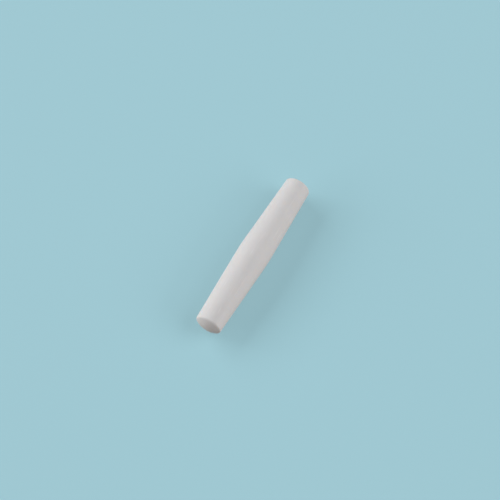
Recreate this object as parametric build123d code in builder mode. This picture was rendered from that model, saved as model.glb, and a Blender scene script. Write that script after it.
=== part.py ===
"""Magnetic stir bar, in millimetres: a double-tapered PTFE jacket moulded around a bar magnet.

The bar lies along X with the origin at its centre and +Z up, as it lies in a vessel. It is thickest
at the crown in the middle, where it turns on the vessel's floor, and tapers to a dome at each end.
"""

import os
from math import acos, atan2, cos, hypot, sin

from build123d import *

# Driving dimensions of the jacket
bar_length = 45.0  # over both domed ends
crown_diameter = 8.0  # at the middle
rim_diameter = 6.5  # where each taper meets its dome, before the rim is rounded
dome_height = 1.0  # rise of each end past its rim
rim_rounding = 0.6  # radius between a taper and its dome
crown_blend = 45.0  # radius of the soft crown that joins the two tapers

# Driving dimensions of the magnet
end_wall = 3.5  # jacket between each end of the magnet and the end of the bar
side_wall = 1.0  # jacket around the magnet, taken at the rims, where the bar is thinnest
magnet_chamfer = 0.3  # broken edge of the cast rod

# Sizes worked out from them
half_length = bar_length / 2
rim_station = half_length - dome_height  # distance of each rim from the middle
rim_height = rim_diameter / 2
crown_height = crown_diameter / 2
magnet_length = bar_length - 2 * end_wall
magnet_diameter = rim_diameter - 2 * side_wall

# Each taper runs from its rim to the point where it touches the crown's circle
circle_depth = crown_blend - crown_height  # the circle's centre lies this far below the axis
rim_rise = rim_height + circle_depth
taper_angle = atan2(rim_station, rim_rise) - acos(crown_blend / hypot(rim_station, rim_rise))
touch_station = crown_blend * sin(taper_angle)
touch_height = crown_blend * cos(taper_angle) - circle_depth

os.makedirs("parts", exist_ok=True)

# Bar magnet: a cast rod with both ends chamfered
with BuildPart() as bar_magnet:
    with BuildSketch(Plane.YZ):
        Circle(magnet_diameter / 2)
    extrude(amount=magnet_length / 2, both=True)
    magnet_ends = bar_magnet.faces().filter_by(Axis.X)
    chamfer(magnet_ends.edges(), length=magnet_chamfer)
bar_magnet.part.label = "bar_magnet"

# Jacket: half of its long section turned about the bar's axis, then hollowed by the magnet it encloses
with BuildPart() as jacket:
    with BuildSketch(Plane.XZ) as section:
        with BuildLine():
            TangentArc((half_length, 0), (rim_station, rim_height), tangent=(0, 1))
            Line((rim_station, rim_height), (touch_station, touch_height))
            mirror(about=Plane.YZ)
            ThreePointArc((touch_station, touch_height), (0, crown_height), (-touch_station, touch_height))
            Line((-half_length, 0), (half_length, 0))
        make_face()
        stations = section.vertices().group_by(Axis.X)
        fillet(stations[1] + stations[-2], radius=rim_rounding)
    revolve(axis=Axis.X)
    add(bar_magnet.part, mode=Mode.SUBTRACT)
jacket.part.label = "jacket"

for piece in (jacket, bar_magnet):
    export_step(piece.part, f"parts/{piece.part.label}.step")
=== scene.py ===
"""Looks of the magnetic stir bar: a satin PTFE jacket moulded around its magnet, on a plain pale floor.

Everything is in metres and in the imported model's frame: the bar lies along X with its centre at the
origin, and +Z is up. Azimuths run from +X towards +Y, in degrees. Colours are linear.
"""

import logging
import math
from dataclasses import dataclass, field
from enum import Enum

import bmesh
import bpy
from mathutils import Matrix, Vector, noise


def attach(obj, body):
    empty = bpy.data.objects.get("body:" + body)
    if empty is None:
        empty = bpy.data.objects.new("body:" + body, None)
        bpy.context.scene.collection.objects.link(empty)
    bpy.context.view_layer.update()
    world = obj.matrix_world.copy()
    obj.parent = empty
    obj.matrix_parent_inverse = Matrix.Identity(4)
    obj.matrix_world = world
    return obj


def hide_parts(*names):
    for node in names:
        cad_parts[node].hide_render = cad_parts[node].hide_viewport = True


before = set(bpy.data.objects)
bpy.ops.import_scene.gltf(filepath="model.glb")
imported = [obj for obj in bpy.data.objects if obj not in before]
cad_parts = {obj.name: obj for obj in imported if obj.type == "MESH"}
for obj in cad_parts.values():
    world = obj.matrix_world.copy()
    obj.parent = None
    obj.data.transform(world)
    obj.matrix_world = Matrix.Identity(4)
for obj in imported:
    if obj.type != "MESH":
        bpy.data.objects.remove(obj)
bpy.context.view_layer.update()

Colour = tuple[float, float, float]
Span = tuple[float, float]
Station = tuple[float, float]

UNIT: Span = (0.0, 1.0)
UNIT_REVERSED: Span = (1.0, 0.0)
BLACK: Colour = (0.0, 0.0, 0.0)
FULL_TURN = 2 * math.pi
QUARTER_TURN = math.pi / 2

# The Mix node gives its colour sockets the same names as its number sockets, so they go by place
MIX_FIRST = 6
MIX_SECOND = 7
MIX_RESULT = 2

log = logging.getLogger("stir_bar")


class Solid(Enum):
    """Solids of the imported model."""

    JACKET = "jacket"
    MAGNET = "bar_magnet"


class Slot(Enum):
    """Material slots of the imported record."""

    PTFE = "white_ptfe"
    ALLOY = "magnet_alloy"


class Facing(Enum):
    """Side that a turned skin shows: the outside of a body, or the inside of a space in one."""

    OUTWARD = 1
    INWARD = -1


class NodeBoard:
    """The node tree of a material or a world, with short calls that add nodes and join them."""

    def __init__(self, owner: bpy.types.Material | bpy.types.World) -> None:
        """Opens the tree.

        Args:
            owner: What the tree belongs to.
        """
        owner.use_nodes = True
        self.owner = owner
        self.tree = owner.node_tree

    @property
    def skin(self) -> bpy.types.NodeInputs:
        """Inputs of a material's Principled surface."""
        return self.tree.nodes["Principled BSDF"].inputs

    def add(self, kind: str, **settings: object) -> bpy.types.Node:
        """Adds a node.

        Args:
            kind: Blender's type name of the node, after "ShaderNode".
            **settings: Properties of the node and their values.

        Returns:
            The new node.
        """
        node = self.tree.nodes.new("ShaderNode" + kind)
        for name, value in settings.items():
            setattr(node, name, value)
        return node

    def join(self, source: bpy.types.NodeSocket, target: bpy.types.NodeSocket) -> None:
        """Links one node's output to another node's input."""
        self.tree.links.new(source, target)

    def place(self) -> bpy.types.NodeSocket:
        """Gives the place on the object, in metres."""
        return self.add("TexCoord").outputs["Object"]

    def seen_rays(self) -> bpy.types.NodeSocket:
        """Tells rays that show a thing, straight, mirrored or through glass, from those that it lights.

        Returns:
            1 for a ray that shows it, and 0 for any other.
        """
        rays = self.add("LightPath").outputs
        seen = rays["Is Camera Ray"]
        for name in ("Is Glossy Ray", "Is Transmission Ray"):
            seen = self.math("MAXIMUM", seen, rays[name])
        return seen

    def math(
        self,
        operation: str,
        first: bpy.types.NodeSocket,
        second: bpy.types.NodeSocket | float = 0.0,
    ) -> bpy.types.NodeSocket:
        """Adds a Math node.

        Args:
            operation: Name of the operation.
            first: What it works on.
            second: Its other operand, a socket or a plain number.

        Returns:
            The result's socket.
        """
        node = self.add("Math", operation=operation)
        self.join(first, node.inputs[0])
        if isinstance(second, bpy.types.NodeSocket):
            self.join(second, node.inputs[1])
        else:
            node.inputs[1].default_value = second
        return node.outputs[0]

    def spread(
        self, source: bpy.types.NodeSocket, span: Span, onto: Span = UNIT
    ) -> bpy.types.NodeSocket:
        """Maps a range of values onto another, held at its ends.

        Args:
            source: The values.
            span: Start and end of their range.
            onto: What the start and the end become.

        Returns:
            The mapped values' socket.
        """
        node = self.add("MapRange", clamp=True)
        self.join(source, node.inputs["Value"])
        for name, value in zip(("From Min", "From Max", "To Min", "To Max"), (*span, *onto)):
            node.inputs[name].default_value = value
        return node.outputs["Result"]

    def blend(
        self, share: bpy.types.NodeSocket, first: Colour, second: Colour | bpy.types.NodeSocket
    ) -> bpy.types.NodeSocket:
        """Mixes two colours.

        Args:
            share: Share of the second colour.
            first: The first colour.
            second: The second colour, plain or from a socket.

        Returns:
            The mixed colour's socket.
        """
        node = self.add("Mix", data_type="RGBA")
        self.join(share, node.inputs["Factor"])
        node.inputs[MIX_FIRST].default_value = (*first, 1.0)
        if isinstance(second, bpy.types.NodeSocket):
            self.join(second, node.inputs[MIX_SECOND])
        else:
            node.inputs[MIX_SECOND].default_value = (*second, 1.0)
        return node.outputs[MIX_RESULT]

    def emboss(self, height: bpy.types.NodeSocket, distance: float = 1.0) -> None:
        """Gives a material's surface a fine relief.

        Args:
            height: The relief's height.
            distance: What a height of 1 stands for.
        """
        bump = self.add("Bump")
        bump.inputs["Distance"].default_value = distance
        self.join(height, bump.inputs["Height"])
        self.join(bump.outputs["Normal"], self.skin["Normal"])


@dataclass(frozen=True)
class Mottle:
    """An uneven pattern in a finish: a noise, and the range of its values that shows."""

    scale: float  # cells per metre
    span: Span = UNIT
    detail: float = 2.0  # number of finer layers
    rough: float = 0.5  # strength of each finer layer
    draw: float = 1.0  # share of X that is left, so that a small one draws the cells out along the bar
    shift: float = 0.0  # added to X after that, which picks another stretch of the noise

    def noise(self, board: NodeBoard, place: bpy.types.NodeSocket) -> bpy.types.NodeSocket:
        """Adds the noise.

        Args:
            board: The tree that takes it.
            place: Where it is read.

        Returns:
            Its value, around 0.5.
        """
        if self.draw != 1.0:
            drawn = board.add("Mapping")
            board.join(place, drawn.inputs["Vector"])
            drawn.inputs["Scale"].default_value = (self.draw, 1.0, 1.0)
            drawn.inputs["Location"].default_value = (self.shift, 0.0, 0.0)
            place = drawn.outputs["Vector"]
        node = board.add("TexNoise")
        board.join(place, node.inputs["Vector"])
        node.inputs["Scale"].default_value = self.scale
        node.inputs["Detail"].default_value = self.detail
        node.inputs["Roughness"].default_value = self.rough
        return node.outputs["Fac"]

    def lay(
        self, board: NodeBoard, place: bpy.types.NodeSocket, onto: Span = UNIT
    ) -> bpy.types.NodeSocket:
        """Adds the pattern.

        Args:
            board: The tree that takes it.
            place: Where it is read.
            onto: What the start and the end of its range become.

        Returns:
            The pattern's value.
        """
        return board.spread(self.noise(board, place), self.span, onto)


@dataclass(frozen=True)
class PtfeFinish:
    """White sintered PTFE: a waxy satin skin with faint clouds, flow lines, tool rings and drag marks."""

    colour: Colour = (0.812, 0.791, 0.791)
    shade_colour: Colour = (0.774, 0.754, 0.754)
    clouds: Mottle = Mottle(300.0, (0.35, 0.7), detail=4.0, rough=0.55)
    flow: Mottle = Mottle(800.0, (0.32, 0.68), draw=0.04)
    cloud_share: float = 0.5  # of the shading, with the rest from the flow lines
    mark_colour: Colour = (0.861, 0.838, 0.838)
    mark_lines: Mottle = Mottle(2200.0, (0.56, 0.68), draw=0.03, shift=0.022)
    mark_patches: Mottle = Mottle(200.0, (0.46, 0.6))
    mark_depth: float = 0.0000016
    mark_dulling: float = 0.1
    roughness: Span = (0.42, 0.54)
    gloss_patches: Mottle = Mottle(900.0, (0.3, 0.7), detail=3.0)
    ring_pitch: float = 0.00028
    ring_height: float = 0.0000012
    ring_wander: Mottle = Mottle(700.0)
    ring_patches: Mottle = Mottle(260.0, (0.4, 0.65))
    ring_strength: Span = (0.15, 1.0)
    grain: Mottle = Mottle(6000.0, detail=3.0)
    grain_height: float = 0.0000012
    index: float = 1.36
    sheen_level: float = 0.4
    depth_weight: float = 0.35
    depth_scale: float = 0.0006
    depth_tint: Colour = (1.0, 0.8, 0.65)

    def material(self) -> bpy.types.Material:
        """Builds the finish.

        Returns:
            The material, ready to assign.
        """
        board = NodeBoard(bpy.data.materials.new("white_ptfe_satin"))
        place = board.place()
        marks = board.math(
            "MULTIPLY", self.mark_lines.lay(board, place), self.mark_patches.lay(board, place)
        )
        skin = board.skin
        board.join(self._tone(board, place, marks), skin["Base Color"])
        board.join(self._gloss(board, place, marks), skin["Roughness"])
        board.emboss(self._relief(board, place, marks))
        skin["IOR"].default_value = self.index
        skin["Specular IOR Level"].default_value = self.sheen_level
        skin["Subsurface Weight"].default_value = self.depth_weight
        skin["Subsurface Scale"].default_value = self.depth_scale
        skin["Subsurface Radius"].default_value = self.depth_tint
        return board.owner

    def _tone(
        self, board: NodeBoard, place: bpy.types.NodeSocket, marks: bpy.types.NodeSocket
    ) -> bpy.types.NodeSocket:
        """Shades the skin with clouds and lengthwise flow lines, and makes the marks paler.

        Args:
            board: The tree that takes it.
            place: Where the skin is.
            marks: Strength of the drag marks, from 0 to 1.

        Returns:
            The colour.
        """
        shade = board.math(
            "ADD",
            self.clouds.lay(board, place, (0.0, self.cloud_share)),
            self.flow.lay(board, place, (0.0, 1 - self.cloud_share)),
        )
        body = board.blend(shade, self.colour, self.shade_colour)
        return board.blend(board.spread(marks, UNIT, UNIT_REVERSED), self.mark_colour, body)

    def _gloss(
        self, board: NodeBoard, place: bpy.types.NodeSocket, marks: bpy.types.NodeSocket
    ) -> bpy.types.NodeSocket:
        """Varies the skin's roughness a little, and dulls it in the marks.

        Args:
            board: The tree that takes it.
            place: Where the skin is.
            marks: Strength of the drag marks, from 0 to 1.

        Returns:
            The roughness.
        """
        patches = self.gloss_patches.lay(board, place, self.roughness)
        return board.math("ADD", patches, board.math("MULTIPLY", marks, self.mark_dulling))

    def _relief(
        self, board: NodeBoard, place: bpy.types.NodeSocket, marks: bpy.types.NodeSocket
    ) -> bpy.types.NodeSocket:
        """Adds up the fine tool rings, the marks and the grain of the sintered skin.

        Args:
            board: The tree that takes them.
            place: Where the skin is.
            marks: Strength of the drag marks, from 0 to 1.

        Returns:
            The height.
        """
        split = board.add("SeparateXYZ")
        board.join(place, split.inputs[0])
        along = board.math("ABSOLUTE", split.outputs["X"])
        squares = [board.math("POWER", split.outputs[axis], 2.0) for axis in "YZ"]
        radius = board.math("SQRT", board.math("ADD", *squares))
        # Grows along the tapers and on over the domes, so one pitch rings both
        run = board.math("SUBTRACT", along, radius)
        wander = board.math("MULTIPLY", self.ring_wander.noise(board, place), self.ring_pitch)
        turns = board.math("MULTIPLY", board.math("ADD", run, wander), FULL_TURN / self.ring_pitch)
        strength = self.ring_patches.lay(board, place, self.ring_strength)
        rings = board.math("MULTIPLY", board.math("SINE", turns), strength)
        height = board.math("MULTIPLY", rings, self.ring_height)
        depth = board.math("MULTIPLY", marks, -self.mark_depth)
        grain = board.math("MULTIPLY", self.grain.noise(board, place), self.grain_height)
        return board.math("ADD", board.math("ADD", height, depth), grain)


@dataclass(frozen=True)
class CastAlloyFinish:
    """Cast magnet alloy: grey, grainy and dull."""

    colour: Colour = (0.22, 0.215, 0.21)
    grain_colour: Colour = (0.32, 0.315, 0.31)
    grain: Mottle = Mottle(1800.0, (0.3, 0.7), detail=5.0, rough=0.6)
    grain_height: float = 0.00002
    grain_roughness: Span = (0.68, 0.45)

    def material(self) -> bpy.types.Material:
        """Builds the finish.

        Returns:
            The material, ready to assign.
        """
        board = NodeBoard(bpy.data.materials.new("cast_magnet_alloy"))
        grain = self.grain.noise(board, board.place())
        share = board.spread(grain, self.grain.span)
        skin = board.skin
        board.join(board.blend(share, self.colour, self.grain_colour), skin["Base Color"])
        board.join(board.spread(grain, self.grain.span, self.grain_roughness), skin["Roughness"])
        board.emboss(grain, self.grain_height)
        skin["Metallic"].default_value = 1.0
        return board.owner


@dataclass(frozen=True)
class FloorFinish:
    """Plain pale board: pale blue to the eye and in reflections, almost neutral in the light it returns.

    A share of its tone is its own and needs no lamp, so the bar's shadow on it stays faint. Away from
    the bar that share grows to the whole, so the board runs into the surround without a line.
    """

    seen_colour: Colour = (0.475, 0.785, 0.876)
    bounce_colour: Colour = (0.31, 0.25, 0.2)
    own_share: float = 0.5
    fade: Span = (0.06, 0.45)
    lit_level: float = 0.72
    roughness: float = 0.7
    sheen_level: float = 0.0

    def material(self) -> bpy.types.Material:
        """Builds the finish.

        Returns:
            The material, ready to assign.
        """
        board = NodeBoard(bpy.data.materials.new("pale_floor"))
        seen = board.seen_rays()
        away = board.add("VectorMath", operation="LENGTH")
        board.join(board.place(), away.inputs[0])
        own = board.spread(away.outputs["Value"], self.fade, (self.own_share, 1.0))
        lit = board.blend(own, self.seen_colour, BLACK)
        glow = board.math("MULTIPLY", board.math("MULTIPLY", own, seen), self.lit_level)
        skin = board.skin
        board.join(board.blend(seen, self.bounce_colour, lit), skin["Base Color"])
        board.join(glow, skin["Emission Strength"])
        skin["Emission Color"].default_value = (*self.seen_colour, 1.0)
        skin["Roughness"].default_value = self.roughness
        skin["Specular IOR Level"].default_value = self.sheen_level
        board.owner.cycles.emission_sampling = "NONE"
        return board.owner


def add_object(name: str, data: bpy.types.ID) -> bpy.types.Object:
    """Adds an object to the scene.

    Args:
        name: Its name.
        data: Its mesh, lamp or camera.

    Returns:
        The object.
    """
    added = bpy.data.objects.new(name, data)
    bpy.context.scene.collection.objects.link(added)
    return added


def add_mesh(name: str, mesh: bmesh.types.BMesh, material: bpy.types.Material) -> bpy.types.Object:
    """Adds a mesh to the scene as an object, and frees the working mesh.

    Args:
        name: Name of the object.
        mesh: The working mesh.
        material: The object's finish.

    Returns:
        The object.
    """
    data = bpy.data.meshes.new(name)
    mesh.to_mesh(data)
    mesh.free()
    data.materials.append(material)
    return add_object(name, data)


def toward(azimuth: float, elevation: float) -> Vector:
    """Points away from the bar.

    Args:
        azimuth: Degrees from +X towards +Y.
        elevation: Degrees above the level.

    Returns:
        The direction, of length 1.
    """
    flat, lift = math.radians(azimuth), math.radians(elevation)
    return Vector((math.cos(flat) * math.cos(lift), math.sin(flat) * math.cos(lift), math.sin(lift)))


def trace_arc(
    centre: Station | Vector, radius: float, start: float, end: float, steps: int
) -> list[Station]:
    """Divides an arc of the section.

    Args:
        centre: Its centre's place along X and distance from the axis.
        radius: Its radius.
        start: Where it starts, in radians from +X.
        end: Where it ends, in radians from +X.
        steps: Number of steps.

    Returns:
        Its points without the last, which the next stretch of the section starts with.
    """
    x, y = centre
    angles = [start + (end - start) * i / steps for i in range(steps)]
    return [(x + radius * math.cos(a), y + radius * math.sin(a)) for a in angles]


def turn_skin(
    mesh: bmesh.types.BMesh, section: list[Station], around: int, facing: Facing
) -> None:
    """Turns an open section about X into a closed skin, with a fan at each pole.

    Args:
        mesh: The mesh that takes the skin.
        section: Places along X with their radius, which is zero at the first and the last, the poles.
        around: Number of points in each ring.
        facing: Whether the skin faces away from the axis or towards it.
    """
    angles = [FULL_TURN * i / around for i in range(around)]
    first = mesh.verts.new((section[0][0], 0.0, 0.0))
    last = mesh.verts.new((section[-1][0], 0.0, 0.0))
    rings = [
        [mesh.verts.new((x, radius * math.cos(a), radius * math.sin(a))) for a in angles]
        for x, radius in section[1:-1]
    ]
    corners: list[list[bmesh.types.BMVert]] = []
    for i in range(around):
        j = (i + 1) % around
        corners.append([first, rings[0][j], rings[0][i]])
        corners.append([last, rings[-1][i], rings[-1][j]])
        for low, high in zip(rings, rings[1:]):
            corners.append([low[i], low[j], high[j], high[i]])
    for ring in corners:
        mesh.faces.new(ring[:: facing.value])


@dataclass
class Jacket:
    """The moulded PTFE body: two tapers from a soft crown to domed ends, around the magnet's space."""

    length: float = 0.045
    crown_diameter: float = 0.008
    rim_diameter: float = 0.0065
    dome_height: float = 0.001
    rim_rounding: float = 0.0006
    crown_blend: float = 0.045
    space_length: float = 0.038
    space_diameter: float = 0.0045
    space_chamfer: float = 0.0003
    space_clearance: float = 0.00001
    waviness: float = 0.000012
    wave_scale: tuple[float, float, float] = (160.0, 420.0, 420.0)  # cells per metre
    inset: float = 0.000006  # at the crown, so that the whole skin stays inside the solid
    around: int = 192
    space_around: int = 96
    taper_step: float = 0.0004
    arc_steps: int = 14
    finish: PtfeFinish = field(default_factory=PtfeFinish)

    def half_section(self) -> list[Station]:
        """Traces the outside from the crown to the +X pole.

        Returns:
            Places along X with their radius.
        """
        rim_x = self.length / 2 - self.dome_height
        rim_r = self.rim_diameter / 2
        depth = self.crown_blend - self.crown_diameter / 2
        reach = math.hypot(rim_x, rim_r + depth)
        slope = math.atan2(rim_x, rim_r + depth) - math.acos(self.crown_blend / reach)
        dome_r = (rim_r**2 + self.dome_height**2) / (2 * self.dome_height)
        dome_x = self.length / 2 - dome_r
        # Centre of the rim's rounding: inside the taper and inside the dome by its own radius
        normal = Vector((math.sin(slope), math.cos(slope)))
        run = Vector((math.cos(slope), -math.sin(slope)))
        touch = Vector((0.0, -depth)) + normal * self.crown_blend
        offset = normal.dot(touch) - self.rim_rounding
        foot = Vector((dome_x, 0.0)) + normal * (offset - normal.x * dome_x)
        away = (foot - Vector((dome_x, 0.0))).length
        centre = foot + run * math.sqrt((dome_r - self.rim_rounding) ** 2 - away**2)
        swing = math.atan2(centre.y, centre.x - dome_x)
        taper_end = centre + normal * self.rim_rounding
        taper_steps = round((taper_end - touch).length / self.taper_step)
        taper_angle = QUARTER_TURN - slope
        return [
            *trace_arc((0.0, -depth), self.crown_blend, QUARTER_TURN, taper_angle, self.arc_steps),
            *[tuple(touch.lerp(taper_end, i / taper_steps)) for i in range(taper_steps)],
            *trace_arc(centre, self.rim_rounding, taper_angle, swing, self.arc_steps),
            *trace_arc((dome_x, 0.0), dome_r, swing, 0.0, self.arc_steps),
            (self.length / 2, 0.0),
        ]

    def outside(self) -> list[Station]:
        """Traces the whole outside from pole to pole, held in by a hair so that it stays in the solid.

        Returns:
            Places along X with their radius.
        """
        half = self.half_section()
        whole = [(-x, r) for x, r in reversed(half[1:])] + half
        share = 1 - self.inset / (self.crown_diameter / 2)
        return [(x * share, r * share) for x, r in whole]

    def space(self) -> list[Station]:
        """Traces the magnet's space from pole to pole.

        Returns:
            Places along X with their radius.
        """
        half = self.space_length / 2 + self.space_clearance
        radius = self.space_diameter / 2 + self.space_clearance
        cut = self.space_chamfer
        ends = [(half - cut, radius), (half, radius - cut), (half, 0.0)]
        return [(-x, r) for x, r in reversed(ends)] + ends

    def wave(self, mesh: bmesh.types.BMesh) -> None:
        """Gives the outside the slight unevenness of a moulded and finished skin, always inwards.

        Args:
            mesh: The turned outside.
        """
        scale = Vector(self.wave_scale)
        for vert in mesh.verts:
            drop = self.waviness * (0.5 + 0.5 * noise.noise(vert.co * scale))
            share = 1 - drop / (self.crown_diameter / 2)
            vert.co.y *= share
            vert.co.z *= share

    def build(self) -> bpy.types.Object:
        """Makes the jacket's mesh, with the magnet's space inside it.

        Returns:
            The jacket, dressed and riding in the frame.
        """
        mesh = bmesh.new()
        turn_skin(mesh, self.outside(), self.around, Facing.OUTWARD)
        self.wave(mesh)
        turn_skin(mesh, self.space(), self.space_around, Facing.INWARD)
        for face in mesh.faces:
            face.smooth = True
        piece = add_mesh("moulded_jacket", mesh, self.finish.material())
        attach(piece, "root")
        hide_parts(Solid.JACKET.value)
        return piece


@dataclass
class Magnet:
    """The rod magnet sealed in the jacket, whose solid is shown as it is."""

    finish: CastAlloyFinish = field(default_factory=CastAlloyFinish)

    def dress(self) -> bpy.types.Object:
        """Gives the magnet's solid its finish.

        Returns:
            The solid's object.
        """
        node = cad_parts[Solid.MAGNET.value]
        node.data.materials.clear()
        node.data.materials.append(self.finish.material())
        return node


@dataclass(frozen=True)
class Lamp:
    """A soft rectangular lamp that looks at the bar."""

    name: str
    azimuth: float
    elevation: float
    size: tuple[float, float]
    power: float
    distance: float = 2.0

    def build(self) -> bpy.types.Object:
        """Places the lamp.

        Returns:
            The lamp's object.
        """
        data = bpy.data.lights.new(self.name, "AREA")
        data.shape = "RECTANGLE"
        data.size, data.size_y = self.size
        data.energy = self.power
        lamp = add_object(self.name, data)
        back = toward(self.azimuth, self.elevation)
        lamp.location = back * self.distance
        lamp.rotation_euler = back.to_track_quat("Z", "Y").to_euler()
        lamp.visible_camera = False
        return lamp


@dataclass(frozen=True)
class Viewpoint:
    """The photograph's camera, by its angles about the bar."""

    azimuth: float = -150.128
    elevation: float = 62.038
    distance: float = 0.27485
    lens: float = 82.97
    clip_start: float = 0.005
    aim_right: float = -0.0010318
    aim_up: float = 0.0009018

    def build(self) -> bpy.types.Object:
        """Places the camera and makes it the scene's own.

        Returns:
            The camera.
        """
        back = toward(self.azimuth, self.elevation)
        right = toward(self.azimuth + 90.0, 0.0)
        up = back.cross(right)
        data = bpy.data.cameras.new("camera")
        data.lens = self.lens
        data.clip_start = self.clip_start
        camera = add_object("camera", data)
        turn = Matrix((right, up, back)).transposed()
        aim = right * self.aim_right + up * self.aim_up
        camera.matrix_world = Matrix.Translation(aim + back * self.distance) @ turn.to_4x4()
        bpy.context.scene.camera = camera
        return camera


@dataclass
class Studio:
    """Plain floor, soft lamps and even surrounding light."""

    floor_height: float = -0.004
    floor_radius: float = 1.5
    floor_corners: int = 96
    floor_finish: FloorFinish = field(default_factory=FloorFinish)
    surround: Colour = (1.0, 1.0, 1.0)
    surround_strength: float = 0.1
    seen_surround: Colour = (0.342, 0.565, 0.631)
    lamps: tuple[Lamp, ...] = (
        Lamp("key", 85.0, 32.0, (1.7, 1.0), 21.8),
        Lamp("low_key", 125.0, 15.0, (2.0, 0.85), 18.2),
        Lamp("fill", -80.0, 22.0, (1.8, 0.7), 13.6),
        Lamp("far_fill", -58.0, 42.0, (1.6, 1.1), 13.1),
    )

    def build_floor(self) -> bpy.types.Object:
        """Lays the floor under the crown.

        Returns:
            The floor.
        """
        mesh = bmesh.new()
        bmesh.ops.create_circle(
            mesh, cap_ends=True, segments=self.floor_corners, radius=self.floor_radius
        )
        floor = add_mesh("floor", mesh, self.floor_finish.material())
        floor.location.z = self.floor_height
        return floor

    def build_surround(self) -> bpy.types.World:
        """Makes the even light all round, with the pale colour that is seen past the floor.

        Returns:
            The world.
        """
        board = NodeBoard(bpy.data.worlds.new("surround"))
        light = board.tree.nodes["Background"]
        light.inputs["Color"].default_value = (*self.surround, 1.0)
        light.inputs["Strength"].default_value = self.surround_strength
        shown = board.add("Background")
        shown.inputs["Color"].default_value = (*self.seen_surround, 1.0)
        mix = board.add("MixShader")
        for source, target in zip((board.seen_rays(), light.outputs[0], shown.outputs[0]), mix.inputs):
            board.join(source, target)
        board.join(mix.outputs[0], board.tree.nodes["World Output"].inputs["Surface"])
        bpy.context.scene.world = board.owner
        return board.owner

    def build(self) -> None:
        """Sets up the floor, the surround and the lamps."""
        self.build_floor()
        self.build_surround()
        for lamp in self.lamps:
            lamp.build()


def main() -> None:
    """Builds the dressed bar, its stage and the camera."""
    logging.basicConfig(level=logging.INFO, format="%(name)s: %(message)s")
    bpy.context.scene.view_settings.view_transform = "Standard"
    jacket = Jacket().build()
    log.info("%s: %d faces in %s", jacket.name, len(jacket.data.polygons), Slot.PTFE.value)
    magnet = Magnet().dress()
    log.info("%s: its own solid in %s", magnet.name, Slot.ALLOY.value)
    studio = Studio()
    studio.build()
    log.info("floor and surround: set, with %d lamps", len(studio.lamps))
    camera = Viewpoint().build()
    log.info("%s: %.1f mm lens", camera.name, camera.data.lens)


if __name__ == "__main__":
    main()
